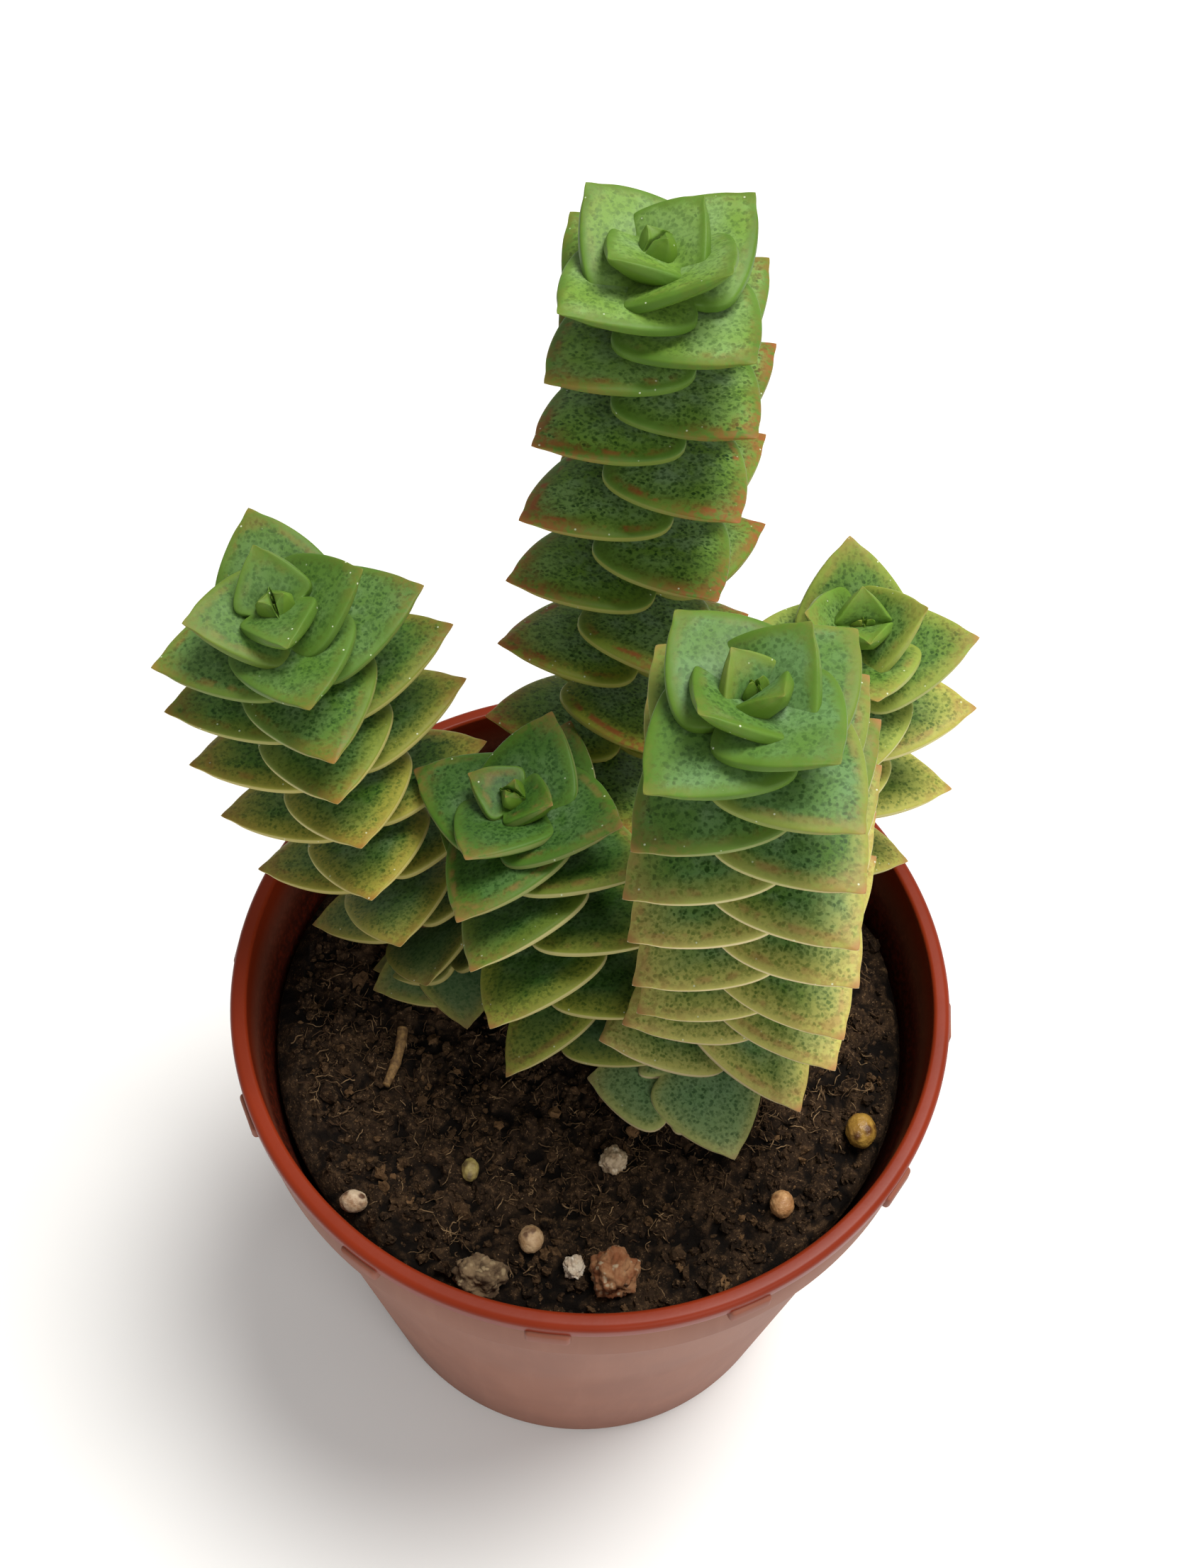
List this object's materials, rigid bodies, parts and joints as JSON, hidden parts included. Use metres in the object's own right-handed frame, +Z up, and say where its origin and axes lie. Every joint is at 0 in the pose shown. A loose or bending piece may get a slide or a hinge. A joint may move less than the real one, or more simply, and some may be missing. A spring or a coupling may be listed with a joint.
{
  "type": "potted succulent",
  "caption": "Potted string-of-buttons succulent: upright stems of stacked, paired, pointed leaves in a tapered round plastic nursery pot filled with soil.",
  "frame": {"origin": "middle of the pot's flat underside", "axes": "+Z up along the pot's axis, -Y towards the side seen in the picture, +X to the right of it"},
  "size_m": [0.0884, 0.086, 0.1632],
  "materials": {
    "pot_plastic": "terracotta-coloured moulded plastic, slightly glossy",
    "peat": "damp dark peat with fibres",
    "clay": "rough fired clay grain",
    "perlite": "rough pale mineral grain",
    "feed": "smooth slow-release feed grain",
    "bark": "dry twig",
    "leaf": "waxy green leaf with pale green to tan margins"
  },
  "bodies": {
    "root": {"pot": "pot_plastic", "soil": "peat", "clay_grain_front": "clay", "clay_grain_rim": "clay", "perlite_large": "perlite", "perlite_small": "perlite", "feed_grain_right": "feed", "feed_grain_front": "feed", "feed_grain_middle": "feed", "feed_grain_left": "feed", "feed_grain_inner": "feed", "twig": "bark", "stem_front": "leaf", "stem_tall": "leaf", "stem_left": "leaf", "stem_right": "leaf", "stem_small": "leaf"}
  },
  "joints": []
}
